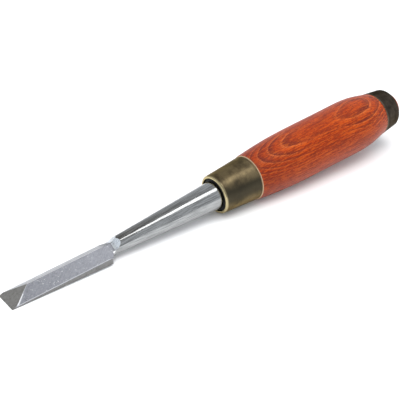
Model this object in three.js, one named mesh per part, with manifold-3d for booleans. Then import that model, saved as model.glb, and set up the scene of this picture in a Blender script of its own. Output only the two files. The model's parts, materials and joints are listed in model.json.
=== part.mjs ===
// Bench chisel with a ridged, dovetail-section blade, a brass ferrule and a hooped wooden handle.
//
// Millimetres, +Z up. The chisel lies on a bench as it is put down: on its cutting edge and on the
// belly of its handle, back of the blade down. Z = 0 is the bench, +X runs from the cutting edge to
// the butt, and the origin is under the middle of the chisel.
//
// Every piece is drawn about the handle's own axis first: +X along the axis, X = 0 at the cutting
// edge, +Z up. One turned group then lays the whole chisel down.

import * as THREE from 'three';
import { mergeVertices } from 'three/addons/utils/BufferGeometryUtils.js';
import { ConvexGeometry } from 'three/addons/geometries/ConvexGeometry.js';
import Module from 'manifold-3d';

// ---- blade: a roof-shaped section over a flat back ----
const bladeLength = 52.6; // cutting edge to shoulder corner
const edgeWidth = 12.4; // blade width at the cutting edge
const shoulderWidth = 12.1; // blade width at the shoulder
const edgeRidgeHeight = 4.7; // ridge above the back, carried on to the cutting edge
const shoulderRidgeHeight = 7.25;
const edgeSideHeight = 0.85; // upright side lands, carried on to the cutting edge
const shoulderSideHeight = 3.7;
const bevelAngle = THREE.MathUtils.degToRad(25);
const backTilt = THREE.MathUtils.degToRad(3.6); // the back leans away from the handle's axis
const edgeDrop = 1.04; // cutting edge below the handle's axis

// ---- shoulder, neck and tang ----
const flareLength = 4.6; // concave run from the shoulder corner into the neck
const coveStart = 1.6; // facets end this far past the shoulder corner
const coveRadius = 9.5; // grinding wheel that leaves the cove
const neckWaistRadius = 3.75; // neck, at the shoulder corner
const neckEndRadius = 7.5; // neck, at the ferrule's mouth
const neckLength = 65.4; // shoulder corner to the ferrule's mouth
const neckEndRound = 0.9;
const tangLength = 64;
const tangRootWidth = 6.6;
const tangTipWidth = 3.4;

// ---- ferrule and washer ----
const ferruleLength = 22.4;
const ferruleRearRadius = 11.95;
const mouthGap = 1.45; // dark ring left open between neck and ferrule
const mouthLip = 1.4; // ferrule's wall at its mouth
const ferruleRearWall = 1.2;
const lipRound = 1.1;
const rimRound = 0.4;
const washerRecess = 0.9; // washer's face behind the ferrule's lip
const washerThickness = 2.6;

// ---- handle ----
const handleProud = 0.4; // the wood stands this much proud of the ferrule
const handleFrontRound = 0.5;
const bellyPull = 25.6; // the front half swells quickly, then runs nearly level
const bellyLift = 3.1;
const palmPull = 34;
const palmRadius = 14.4;
const swellRadius = 15.1;
const hoopFromFerrule = 93.4;
const swellBeforeHoop = 22.8; // thickest place, measured from the hoop
const buttPull = 11;
const hoopPull = 9.6;
const hoopPullLift = 2;
const domeLength = 5.4;

// ---- striking hoop ----
const hoopLength = 11.3;
const hoopFrontRadius = 12.45;
const hoopRearRadius = 11.3;
const hoopWall = 1.35;
const hoopRound = 1.1;

// ---- fits and fineness ----
const clearance = 0.3; // gap between pieces that bear on each other
const turnSegments = 48;
const curvePoints = 16;
const roundPoints = 4;
const spikeSides = 4; // the tang is square
const sameCorner = 1e-5; // corners nearer than this are one

// ---- stations along the handle's axis ----
const mouthAt = bladeLength + neckLength;
const ferruleRearAt = mouthAt + ferruleLength;
const neckEndAt = mouthAt + washerRecess - clearance;
const washerRearAt = mouthAt + washerRecess + washerThickness;
const handleTenonAt = washerRearAt + clearance;
const handleFrontAt = ferruleRearAt + clearance;
const hoopAt = ferruleRearAt + hoopFromFerrule;
const hoopRearAt = hoopAt + hoopLength;
const swellAt = hoopAt - swellBeforeHoop;

// ---- radii that follow from the fits ----
const mouthBoreRadius = neckEndRadius + mouthGap;
const ferruleMouthRadius = mouthBoreRadius + mouthLip;
const handleFrontRadius = ferruleRearRadius + handleProud;
const domeRadius = hoopRearRadius - hoopWall - clearance;

const wasm = await Module();
wasm.setup();

// ---- joining and cutting ----

// A closed three.js geometry as a solid: only positions are kept, shared corners are merged and
// the flat slivers at a turned piece's poles are dropped.
function toSolid(geometry) {
  const bare = geometry.clone();
  bare.deleteAttribute('normal');
  bare.deleteAttribute('uv');
  const merged = mergeVertices(bare, sameCorner);
  const corners = merged.index.array;
  const triangles = [];
  for (let i = 0; i < corners.length; i += 3) {
    const [a, b, c] = [corners[i], corners[i + 1], corners[i + 2]];
    if (a !== b && b !== c && c !== a) {
      triangles.push(a, b, c);
    }
  }
  const mesh = new wasm.Mesh({
    numProp: 3,
    vertProperties: new Float32Array(merged.attributes.position.array),
    triVerts: new Uint32Array(triangles),
  });
  return new wasm.Manifold(mesh);
}

function toGeometry(solid) {
  const mesh = solid.getMesh();
  const geometry = new THREE.BufferGeometry();
  geometry.setAttribute('position', new THREE.BufferAttribute(new Float32Array(mesh.vertProperties), 3));
  geometry.setIndex(new THREE.BufferAttribute(new Uint32Array(mesh.triVerts), 1));
  return geometry;
}

// ---- turned pieces ----

// Turns an outline of (along the axis, radius) points round the handle's axis. The outline runs
// towards the butt along the outside, and an annular piece's outline comes back along its bore.
function turned(outline) {
  const profile = outline.map((point) => new THREE.Vector2(point.y, point.x));
  return new THREE.LatheGeometry(profile, turnSegments).rotateZ(-Math.PI / 2);
}

// A quarter circle of (along, radius) points about a centre, from one angle to another.
function quarter(along, radius, round, fromAngle, toAngle) {
  const points = [];
  for (let i = 0; i <= roundPoints; i += 1) {
    const angle = fromAngle + ((toAngle - fromAngle) * i) / roundPoints;
    points.push(new THREE.Vector2(along + round * Math.cos(angle), radius + round * Math.sin(angle)));
  }
  return points;
}

// Radius of the ferrule's inner wall at a place along the axis.
function ferruleBore(along) {
  const share = (along - mouthAt) / ferruleLength;
  return mouthBoreRadius + (ferruleRearRadius - ferruleRearWall - mouthBoreRadius) * share;
}

function ferruleOutline() {
  return [
    new THREE.Vector2(mouthAt, mouthBoreRadius),
    ...quarter(mouthAt + lipRound, ferruleMouthRadius - lipRound, lipRound, Math.PI, Math.PI / 2),
    ...quarter(ferruleRearAt - rimRound, ferruleRearRadius - rimRound, rimRound, Math.PI / 2, 0),
    new THREE.Vector2(ferruleRearAt, ferruleBore(ferruleRearAt)),
    new THREE.Vector2(mouthAt, mouthBoreRadius),
  ];
}

function washerOutline() {
  const front = mouthAt + washerRecess;
  const bore = tangRootWidth * Math.SQRT1_2 + clearance;
  return [
    new THREE.Vector2(front, bore),
    new THREE.Vector2(front, ferruleBore(front) - clearance),
    new THREE.Vector2(washerRearAt, ferruleBore(washerRearAt) - clearance),
    new THREE.Vector2(washerRearAt, bore),
    new THREE.Vector2(front, bore),
  ];
}

function hoopOutline() {
  const boreFront = hoopFrontRadius - hoopWall;
  const boreRear = hoopRearRadius - hoopWall;
  return [
    new THREE.Vector2(hoopAt, boreFront),
    ...quarter(hoopAt + rimRound, hoopFrontRadius - rimRound, rimRound, Math.PI, Math.PI / 2),
    ...quarter(hoopRearAt - hoopRound, hoopRearRadius - hoopRound, hoopRound, Math.PI / 2, 0),
    new THREE.Vector2(hoopRearAt, boreRear),
    new THREE.Vector2(hoopAt, boreFront),
  ];
}

// The grip between ferrule and hoop: one curve up to the swell of the palm and one down to the hoop.
function gripCurve() {
  const start = handleFrontAt + handleFrontRound;
  const hoopShoulderAt = hoopAt - clearance;
  const grip = new THREE.Path();
  grip.moveTo(start, handleFrontRadius);
  grip.bezierCurveTo(
    start + bellyPull, handleFrontRadius + bellyLift,
    swellAt - palmPull, palmRadius,
    swellAt, swellRadius,
  );
  grip.bezierCurveTo(
    swellAt + buttPull, swellRadius,
    hoopShoulderAt - hoopPull, hoopFrontRadius + hoopPullLift,
    hoopShoulderAt, hoopFrontRadius,
  );
  return grip.getPoints(curvePoints);
}

function handleOutline() {
  const tenonFront = ferruleBore(handleTenonAt) - clearance;
  const tenonRear = ferruleBore(handleFrontAt) - clearance;
  const shoulderCentre = handleFrontRadius - handleFrontRound;
  const dome = [];
  for (let i = 0; i <= curvePoints / 2; i += 1) {
    const angle = (Math.PI * i) / curvePoints;
    dome.push(new THREE.Vector2(
      hoopRearAt + domeLength * Math.sin(angle),
      i === curvePoints / 2 ? 0 : domeRadius * Math.cos(angle),
    ));
  }
  return [
    new THREE.Vector2(handleTenonAt, 0),
    new THREE.Vector2(handleTenonAt, tenonFront),
    new THREE.Vector2(handleFrontAt, tenonRear),
    ...quarter(handleFrontAt + handleFrontRound, shoulderCentre, handleFrontRound, Math.PI, Math.PI / 2),
    ...gripCurve().slice(1),
    new THREE.Vector2(hoopAt - clearance, hoopFrontRadius - hoopWall - clearance),
    ...dome,
  ];
}

// ---- the forging: blade, shoulder, neck and tang in one ----

// Moves a shape from the blade's own frame, back flat on Z = 0, to the handle's axis.
function ontoBlade(geometry) {
  return geometry.rotateY(backTilt).translate(0, 0, -edgeDrop);
}

function sizeAlongBlade(atEdge, atShoulder, along) {
  return atEdge + ((atShoulder - atEdge) * along) / bladeLength;
}

// The five corners of the blade's section: two on the back, two on the sides, one on the ridge.
function bladeSection(along) {
  const half = sizeAlongBlade(edgeWidth, shoulderWidth, along) / 2;
  const side = sizeAlongBlade(edgeSideHeight, shoulderSideHeight, along);
  const ridge = sizeAlongBlade(edgeRidgeHeight, shoulderRidgeHeight, along);
  return [
    new THREE.Vector3(along, -half, 0),
    new THREE.Vector3(along, half, 0),
    new THREE.Vector3(along, -half, side),
    new THREE.Vector3(along, half, side),
    new THREE.Vector3(along, 0, ridge),
  ];
}

// Where a line that rises along the blade meets the cutting bevel.
function bevelMeets(atEdge, atShoulder) {
  return atEdge / (Math.tan(bevelAngle) - (atShoulder - atEdge) / bladeLength);
}

function bladeBar() {
  const sideMeet = bladeSection(bevelMeets(edgeSideHeight, shoulderSideHeight));
  const ridgeMeet = bladeSection(bevelMeets(edgeRidgeHeight, shoulderRidgeHeight));
  const corners = [
    new THREE.Vector3(0, -edgeWidth / 2, 0),
    new THREE.Vector3(0, edgeWidth / 2, 0),
    sideMeet[2],
    sideMeet[3],
    ridgeMeet[4],
    ...bladeSection(bladeLength + flareLength),
  ];
  return ontoBlade(new ConvexGeometry(corners));
}

function neckRadius(along) {
  return neckWaistRadius + ((neckEndRadius - neckWaistRadius) * (along - bladeLength)) / neckLength;
}

// What the shoulders are turned down to: everything before the shoulder corner, then a concave
// flare that ends at the neck.
function shoulderFlare() {
  const outer = shoulderWidth;
  const corner = Math.hypot(shoulderWidth / 2, edgeDrop + bladeLength * Math.sin(backTilt));
  const end = neckRadius(bladeLength + flareLength);
  const outline = [
    new THREE.Vector2(-outer, 0),
    new THREE.Vector2(-outer, outer),
    new THREE.Vector2(bladeLength, outer),
  ];
  for (let i = 0; i <= curvePoints / 2; i += 1) {
    const angle = (Math.PI * i) / curvePoints;
    outline.push(new THREE.Vector2(
      bladeLength + flareLength * (1 - Math.cos(angle)),
      corner - (corner - end) * Math.sin(angle),
    ));
  }
  outline.push(new THREE.Vector2(bladeLength + flareLength, 0));
  return turned(outline);
}

function neckOutline() {
  const start = bladeLength - flareLength;
  return [
    new THREE.Vector2(start, 0),
    new THREE.Vector2(start, neckRadius(start)),
    new THREE.Vector2(bladeLength + flareLength, neckRadius(bladeLength + flareLength)),
    ...quarter(neckEndAt - neckEndRound, neckEndRadius - neckEndRound, neckEndRound, Math.PI / 2, 0),
    new THREE.Vector2(neckEndAt, 0),
  ];
}

// A square, tapered spike from one station to another, corners up and down.
function spike(rootAt, length, rootWidth, tipWidth) {
  const rootCorner = rootWidth * Math.SQRT1_2;
  const tipCorner = tipWidth * Math.SQRT1_2;
  const post = new THREE.CylinderGeometry(tipCorner, rootCorner, length, spikeSides);
  return post.rotateZ(-Math.PI / 2).translate(rootAt + length / 2, 0, 0);
}

// The grinding wheel's sweep over one facet: flat along the facet, then lifting away in an arc.
// side is -1 or +1, the half of the blade that is ground.
function facetSweep(side) {
  const reach = shoulderWidth * 2;
  const start = -reach;
  const liftAt = bladeLength + coveStart;
  const sweep = new THREE.Shape();
  sweep.moveTo(start, reach);
  sweep.lineTo(start, 0);
  sweep.lineTo(liftAt, 0);
  sweep.absarc(liftAt, coveRadius, coveRadius, -Math.PI / 2, 0, false);
  sweep.lineTo(liftAt + coveRadius, reach);
  const cutter = new THREE.ExtrudeGeometry(sweep, {
    depth: 2 * reach,
    bevelEnabled: false,
    curveSegments: curvePoints,
  });
  cutter.translate(0, 0, -reach);
  const ridgeAtEdge = bladeSection(0)[4];
  const alongRidge = bladeSection(bladeLength)[4].sub(ridgeAtEdge).normalize();
  const sideAtShoulder = bladeSection(bladeLength)[side < 0 ? 2 : 3].sub(ridgeAtEdge);
  const outward = new THREE.Vector3().crossVectors(alongRidge, sideAtShoulder).multiplyScalar(side);
  outward.normalize();
  const across = new THREE.Vector3().crossVectors(alongRidge, outward);
  cutter.applyMatrix4(new THREE.Matrix4().makeBasis(alongRidge, outward, across));
  cutter.translate(ridgeAtEdge.x, ridgeAtEdge.y, ridgeAtEdge.z);
  return ontoBlade(cutter);
}

function forging() {
  const bar = toSolid(bladeBar()).intersect(toSolid(shoulderFlare()));
  const tangRootAt = neckEndAt - neckEndRound;
  const tang = toSolid(spike(tangRootAt, tangLength + neckEndRound, tangRootWidth, tangTipWidth));
  const stock = bar.add(toSolid(turned(neckOutline()))).add(tang);
  return toGeometry(stock.subtract(toSolid(facetSweep(-1))).subtract(toSolid(facetSweep(1))));
}

// The handle, with a square tapered hole for the tang.
function handleWood() {
  const wood = toSolid(turned(handleOutline()));
  const gap = 2 * clearance;
  const hole = spike(neckEndAt, tangLength + gap, tangRootWidth + gap, tangTipWidth + gap);
  return toGeometry(wood.subtract(toSolid(hole)));
}

// ---- colours ----

function finish(color, roughness, metalness) {
  return new THREE.MeshStandardMaterial({ color, roughness, metalness });
}

const steel = finish(0xb4b7bd, 0.28, 1);
const brass = finish(0x7d6f4c, 0.38, 1);
const washerBlack = finish(0x1c1a18, 0.8, 0);
const stainedWood = finish(0xb5502a, 0.32, 0);
const gunmetal = finish(0x3c3b38, 0.42, 1);

// ---- assembly ----

const drawn = new THREE.Group();

function add(name, geometry, material) {
  const piece = new THREE.Mesh(geometry, material);
  piece.name = name;
  drawn.add(piece);
}

add('blade', forging(), steel);
add('shock_washer', turned(washerOutline()), washerBlack);
add('ferrule', turned(ferruleOutline()), brass);
add('handle', handleWood(), stainedWood);
add('striking_hoop', turned(hoopOutline()), gunmetal);

// Lying down: the line from the cutting edge that just touches the handle's belly is the bench.
const underside = [...handleOutline(), ...ferruleOutline(), ...hoopOutline()];
const restTilt = Math.max(...underside.map((point) => Math.atan2(point.y - edgeDrop, point.x)));
const buttReach = Math.max(...underside.map(
  (point) => point.x * Math.cos(restTilt) + point.y * Math.sin(restTilt),
));
const edgeReach = edgeDrop * Math.sin(restTilt);
const laidLength = buttReach - edgeReach;

drawn.rotation.y = -restTilt;
drawn.position.set(-laidLength / 2 - edgeReach, 0, edgeDrop * Math.cos(restTilt));

const chisel = new THREE.Group();
chisel.add(drawn);

export default chisel;
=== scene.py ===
"""Looks of a bench chisel: ground and polished steel, antiqued brass, stained wood, dark hoop.

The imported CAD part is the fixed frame. Every visible piece is a fine surface worked out with numpy
in the place that its CAD node holds, and stands for that node. Sizes of pieces are in millimetres
along the handle's own axis, as a turner would note them; meshes are in metres in the row frame.
"""

import json
import logging
import math
from abc import ABC, abstractmethod
from dataclasses import dataclass
from enum import Enum, IntEnum
from functools import reduce

import bpy
import numpy as np
from mathutils import Matrix, Vector


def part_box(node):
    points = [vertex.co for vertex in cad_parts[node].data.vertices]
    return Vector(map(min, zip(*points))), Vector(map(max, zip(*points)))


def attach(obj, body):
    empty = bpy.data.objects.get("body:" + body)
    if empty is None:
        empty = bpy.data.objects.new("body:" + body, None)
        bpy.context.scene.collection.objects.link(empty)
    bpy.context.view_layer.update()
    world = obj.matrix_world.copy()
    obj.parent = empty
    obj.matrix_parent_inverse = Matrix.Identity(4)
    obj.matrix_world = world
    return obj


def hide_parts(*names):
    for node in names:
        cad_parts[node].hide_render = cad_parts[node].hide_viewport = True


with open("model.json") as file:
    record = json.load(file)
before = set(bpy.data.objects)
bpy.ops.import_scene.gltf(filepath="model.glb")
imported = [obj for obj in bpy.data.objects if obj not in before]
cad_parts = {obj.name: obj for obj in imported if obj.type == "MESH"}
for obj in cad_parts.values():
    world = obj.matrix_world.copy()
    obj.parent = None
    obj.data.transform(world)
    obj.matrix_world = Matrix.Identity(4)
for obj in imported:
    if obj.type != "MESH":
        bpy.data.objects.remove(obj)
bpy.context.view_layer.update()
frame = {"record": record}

log = logging.getLogger("bench_chisel")

Point = tuple[float, float, float]
Colour = tuple[float, float, float]
Pair = tuple[float, float]
Stops = tuple[tuple[float, Colour], ...]
Socket = bpy.types.NodeSocket
Feeds = dict[str | int, object]

MM = 0.001
# Point attribute of rubbed edges, which on the blade and the handle also carries painted highlights.
WEAR_AND_SHEEN = "wear_and_sheen"
SHARP_FROM = math.radians(26)
MIDDLE: Pair = (0.3, 0.7)  # nearly all of a noise lies in this span
BRIGHT_STEEL: Colour = (0.92, 0.93, 0.95)


class Slot(Enum):
    """Material slots of the record."""

    STEEL = "steel"
    BRASS = "brass"
    WASHER = "washer_black"
    WOOD = "stained_wood"
    GUNMETAL = "gunmetal"


class Face(IntEnum):
    """Numbers of the forging's finishes."""

    GROUND = 0
    BEVEL = 1
    POLISHED = 2
    COVE = 3
    SIDE = 4


# ---- places and sizes


@dataclass(frozen=True)
class TurningAxis:
    """The handle's axis as it lies in the row frame.

    Attributes:
        origin: Point of the axis above the cutting edge, in metres.
        tilt: Angle by which the axis rises towards the butt, in radians.
    """

    origin: Point
    tilt: float

    @classmethod
    def of_frame(cls, record: dict, back_tilt: float, edge_drop: float) -> "TurningAxis":
        """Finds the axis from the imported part.

        Args:
            record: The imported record, whose mount lies on the blade's back.
            back_tilt: Angle between the blade's back and the axis, in radians.
            edge_drop: Distance of the cutting edge below the axis, in mm.

        Returns:
            The axis, placed so that the cutting edge touches the bench at its CAD place.
        """
        across, _, down = record["mounts"][0]["axis"]
        tilt = math.atan2(across, -down) + back_tilt
        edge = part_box("blade")[0].x
        drop = edge_drop * MM
        return cls((edge - drop * math.sin(tilt), 0.0, drop * math.cos(tilt)), tilt)

    def place(self, points: np.ndarray) -> np.ndarray:
        """Turns points about the axis into points of the row frame.

        Args:
            points: (n, 3) array in mm: along the axis, across, up from the axis.

        Returns:
            (n, 3) array in metres: each point turned by the tilt, then moved to the origin.
        """
        cos, sin = math.cos(self.tilt), math.sin(self.tilt)
        turn = np.array([[cos, 0.0, -sin], [0.0, 1.0, 0.0], [sin, 0.0, cos]])
        return points @ turn.T * MM + np.array(self.origin)


@dataclass(frozen=True)
class Stations:
    """Places along the handle's axis, in mm from the cutting edge."""

    shoulder: float = 52.6
    mouth: float = 118.0
    ferrule_rear: float = 140.4
    hoop: float = 233.8
    hoop_rear: float = 245.1
    gap: float = 0.3
    recess: float = 0.9

    @property
    def washer(self) -> float:
        """Where the washer's front face lies, inside the ferrule's mouth."""
        return self.mouth + self.recess


# ---- outlines and meshes


def straight(start: Pair, end: Pair, count: int) -> np.ndarray:
    """Points on a straight line, without its end: start + (end - start) * share."""
    share = np.arange(count)[:, None] / count
    return np.array(start) + (np.array(end) - np.array(start)) * share


def arc(centre: Pair, radii: Pair, turn: Pair, count: int) -> np.ndarray:
    """Points of an ellipse between two angles in degrees: centre + (cosine, sine) * radii."""
    angle = np.radians(np.linspace(*turn, count))[:, None]
    return np.array(centre) + np.hstack([np.cos(angle), np.sin(angle)]) * np.array(radii)


def bezier(corners: list[Pair], count: int) -> np.ndarray:
    """Points on a cubic curve: the four corners weighted by the Bernstein shares of t."""
    t = np.linspace(0.0, 1.0, count)[:, None]
    return np.hstack([(1 - t) ** 3, 3 * t * (1 - t) ** 2, 3 * t**2 * (1 - t), t**3]) @ np.array(corners)


def even_angles(columns: int) -> np.ndarray:
    """Even angles round the axis, from straight down through +Y to straight up and back."""
    return 2 * np.pi * np.arange(columns) / columns - np.pi / 2


def all_round(values: np.ndarray, columns: int) -> np.ndarray:
    """Repeats what each ring has for every point round it."""
    return np.repeat(values[:, None], columns, axis=1)


def round_axis(along: np.ndarray, radius: np.ndarray, angle: np.ndarray) -> np.ndarray:
    """Points at (along, radius * cosine, radius * sine) of the angle."""
    return np.stack([along, radius * np.cos(angle), radius * np.sin(angle)], axis=-1)


def turned(outline: np.ndarray, columns: int) -> np.ndarray:
    """Turns an outline round the axis, or a grid whose (along, radius) changes from column to column."""
    grid = all_round(outline, columns) if outline.ndim == 2 else outline
    return round_axis(grid[..., 0], grid[..., 1], even_angles(columns))


def square_bar(side: np.ndarray, columns: int) -> np.ndarray:
    """Radius of a square bar, corners up and down: side * sqrt(1/2) / (|cosine| + |sine|)."""
    angle = even_angles(columns)
    return (side * math.sqrt(0.5))[:, None] / (np.abs(np.cos(angle)) + np.abs(np.sin(angle)))[None, :]


def raised(value: np.ndarray, centre: float, reach: float) -> np.ndarray:
    """A smooth hump: the square of 1 - ((value - centre) / reach) squared, and 0 outside."""
    return np.clip(1 - ((value - centre) / reach) ** 2, 0, 1) ** 2


@dataclass
class Skin:
    """A closed surface on a grid of rings, ready to become a mesh.

    Rings follow one another towards the butt along the outside, so faces point outwards.

    Attributes:
        rings: (rows, columns, 3) array in mm about the handle's axis.
        start_pole: Point that closes the first ring, or None.
        end_pole: Point that closes the last ring, or None.
        endless: Whether the last ring joins the first, as on a hoop.
        wear_and_sheen: (rows, columns) array, 0 on a plain surface and 1 on a rubbed edge and on a painted
            highlight.
        finish: (rows, columns) array with the number of each face's material.
        flat_start: Material number of the flat face that closes the first ring, or None.
    """

    rings: np.ndarray
    start_pole: Point | None = None
    end_pole: Point | None = None
    endless: bool = False
    wear_and_sheen: np.ndarray | None = None
    finish: np.ndarray | None = None
    flat_start: int | None = None

    def quads(self) -> np.ndarray:
        """Works out the grid's faces: (i, j), (i, j + 1), (i + 1, j + 1), (i + 1, j).

        Returns:
            (faces, 4) array of corner numbers.
        """
        rows, columns, _ = self.rings.shape
        i = np.arange(rows if self.endless else rows - 1)[:, None]
        j = np.arange(columns)[None, :]
        after, beside = (i + 1) % rows, (j + 1) % columns
        corners = [i * columns + j, i * columns + beside, after * columns + beside, after * columns + j]
        return np.stack(np.broadcast_arrays(*corners), axis=-1).reshape(-1, 4)

    def mesh(self, name: str, axis: TurningAxis) -> bpy.types.Mesh:
        """Makes the mesh, smooth except over sharp arrises and on its flat face.

        Args:
            name: Name of the mesh.
            axis: The handle's axis in the row frame.

        Returns:
            The mesh, in metres in the row frame, with its rubbing and painted highlights as a point
            attribute.
        """
        rows, columns, _ = self.rings.shape
        wear_and_sheen = np.zeros((rows, columns)) if self.wear_and_sheen is None else self.wear_and_sheen
        finish = np.zeros((rows, columns), int) if self.finish is None else self.finish
        points = [self.rings.reshape(-1, 3)]
        amounts = [wear_and_sheen.reshape(-1)]
        quads = self.quads()
        faces = quads.tolist()
        numbers = [finish.reshape(-1)[: len(quads)]]
        here = np.arange(columns)
        beside = (here + 1) % columns
        last = (rows - 1) * columns
        total = rows * columns
        if self.start_pole is not None:
            points.append(np.array([self.start_pole]))
            faces += np.stack([np.full(columns, total), beside, here], axis=-1).tolist()
            numbers.append(finish[0])
            total += 1
        if self.end_pole is not None:
            points.append(np.array([self.end_pole]))
            faces += np.stack([last + here, last + beside, np.full(columns, total)], axis=-1).tolist()
            numbers.append(finish[-1])
        if self.flat_start is not None:
            faces.append(here[::-1].tolist())
            numbers.append(np.array([self.flat_start]))
        amounts.append(np.zeros(len(points) - 1))
        smooth = np.ones(len(faces), bool)
        smooth[-1] = self.flat_start is None
        mesh = bpy.data.meshes.new(name)
        mesh.from_pydata(axis.place(np.vstack(points)).tolist(), [], faces)
        mesh.polygons.foreach_set("material_index", np.concatenate(numbers).astype(np.int32))
        mesh.polygons.foreach_set("use_smooth", smooth)
        rubbed = mesh.attributes.new(WEAR_AND_SHEEN, "FLOAT", "POINT")
        rubbed.data.foreach_set("value", np.concatenate(amounts).astype(np.float32))
        mesh.update()
        mesh.set_sharp_from_angle(angle=SHARP_FROM)
        return mesh


# ---- shader work


def toned(colour: Colour, share: float) -> Colour:
    """A colour made darker or brighter by a share, and held at 1."""
    return tuple(min(1.0, share * part) for part in colour)


class NodeKit:
    """Short calls that put together the nodes of a material or of the surroundings."""

    def __init__(self, tree: bpy.types.NodeTree) -> None:
        """Takes the tree that the nodes go into."""
        self.tree = tree

    def add(self, kind: str, feeds: Feeds | None = None, **settings: object) -> bpy.types.Node:
        """Adds a node, sets its own properties and feeds its inputs.

        Args:
            kind: The node's type, without the words it always starts with.
            feeds: Inputs by name or number, each with a source or a plain value.
            settings: The node's own properties.

        Returns:
            The node.
        """
        node = self.tree.nodes.new("ShaderNode" + kind)
        for key, value in settings.items():
            setattr(node, key, value)
        for key, value in (feeds or {}).items():
            self.feed(node.inputs[key], value)
        return node

    def feed(self, socket: Socket, value: object) -> None:
        """Links a socket to another, or sets it to a plain value.

        Args:
            socket: The input.
            value: A source, a number, or three numbers for a place or a colour.
        """
        if isinstance(value, Socket):
            self.tree.links.new(value, socket)
        elif socket.type == "RGBA":
            socket.default_value = (*value, 1.0)
        else:
            socket.default_value = value

    def parts(self, vector: Socket) -> bpy.types.NodeOutputs:
        """A vector's parts, named X, Y and Z."""
        return self.add("SeparateXYZ", {"Vector": vector}).outputs

    def sums(self, operation: str, first: object, second: object = 0.0, third: object = 0.0) -> Socket:
        """A Math node's result."""
        return self.add("Math", {0: first, 1: second, 2: third}, operation=operation).outputs["Value"]

    def total(self, *values: object) -> Socket:
        """The sum of several values."""
        return reduce(lambda before, value: self.sums("ADD", before, value), values)

    def product(self, *values: object) -> Socket:
        """The product of several values."""
        return reduce(lambda before, value: self.sums("MULTIPLY", before, value), values)

    def span(self, value: Socket, before: Pair, after: Pair = (0.0, 1.0)) -> Socket:
        """Maps one span of values smoothly onto another, and holds it at the ends."""
        feeds = dict(zip(("Value", "From Min", "From Max", "To Min", "To Max"), (value, *before, *after)))
        return self.add("MapRange", feeds, interpolation_type="SMOOTHSTEP").outputs["Result"]

    def ramp(self, value: Socket, stops: Stops) -> Socket:
        """Colours along a value from 0 to 1.

        Args:
            value: Source of the values.
            stops: Places along the ramp, each with its colour.

        Returns:
            The colour.
        """
        node = self.add("ValToRGB", {"Fac": value})
        elements = node.color_ramp.elements
        while len(elements) < len(stops):
            elements.new(0.5)
        for element, (position, colour) in zip(elements, stops):
            element.position = position
            element.color = (*colour, 1.0)
        return node.outputs["Color"]

    def mix(self, share: object, first: object, second: object) -> Socket:
        """A mix of two colours, each a source or three numbers."""
        return self.add("Mix", {0: share, 6: first, 7: second}, data_type="RGBA").outputs[2]


class Recipe(NodeKit):
    """A material being put together, with its patterns in the turning axis's own millimetres."""

    def __init__(self, name: str, axis: TurningAxis) -> None:
        """Starts a material with nothing but its shader and its place.

        Args:
            name: Name of the material.
            axis: The handle's axis. Places are mm along, across and up from it.
        """
        self.material = bpy.data.materials.new(name)
        self.material.use_nodes = True
        super().__init__(self.material.node_tree)
        self.tree.nodes.clear()
        self.shader = self.add("BsdfPrincipled")
        self.add("OutputMaterial", {"Surface": self.shader.outputs["BSDF"]})
        own = {"Location": axis.origin, "Rotation": (0.0, -axis.tilt, 0.0), "Scale": (MM, MM, MM)}
        source = self.add("TexCoord").outputs["Object"]
        self.place = self.add("Mapping", {"Vector": source, **own}, vector_type="TEXTURE").outputs["Vector"]

    def stretched(self, stretch: Point, turn: Point = (0.0, 0.0, 0.0)) -> Socket:
        """The place turned by angles in degrees, then multiplied by three factors."""
        place = self.add("Mapping", {"Vector": self.place, "Rotation": Vector(turn) * math.radians(1.0)})
        return self.add("VectorMath", {0: place.outputs[0], 1: stretch}, operation="MULTIPLY").outputs[0]

    def noise(self, stretch: Point, detail: float, rough: float, turn: Point = (0.0, 0.0, 0.0)) -> Socket:
        """Noise from 0 to 1, with so many features per mm along, across and up."""
        feeds = {"Vector": self.stretched(stretch, turn), "Scale": 1.0, "Detail": detail, "Roughness": rough}
        return self.add("TexNoise", feeds).outputs["Fac"]

    def wear_and_sheen(self) -> Socket:
        """The piece's own rubbing and painted highlights, 0 to 1."""
        return self.add("Attribute", attribute_type="GEOMETRY", attribute_name=WEAR_AND_SHEEN).outputs["Fac"]

    def bumps(self, *layers: tuple[Socket, float]) -> None:
        """Raises the surface by heights, one over the other.

        Args:
            layers: Sources of the heights, each with its depth in mm.
        """
        below: dict[str, object] = {}
        for height, depth in layers:
            node = self.add("Bump", {"Strength": 1.0, "Distance": depth * MM, "Height": height, **below})
            below = {"Normal": node.outputs["Normal"]}
        self.feed(self.shader.inputs["Normal"], below["Normal"])

    def set(self, **values: object) -> None:
        """Sets or links the shader's sockets, named in lower case with _ for spaces."""
        for key, value in values.items():
            self.feed(self.shader.inputs[key.replace("_", " ").title().replace("Ior", "IOR")], value)


class Finish(ABC):
    """A surface finish that becomes a material."""

    name: str

    def material(self, axis: TurningAxis) -> bpy.types.Material:
        """Builds the material.

        Args:
            axis: The handle's axis, whose frame the pattern follows.

        Returns:
            The material.
        """
        recipe = Recipe(self.name, axis)
        self.dress(recipe)
        return recipe.material

    @abstractmethod
    def dress(self, r: Recipe) -> None:
        """Puts the finish's patterns into a recipe."""


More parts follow.
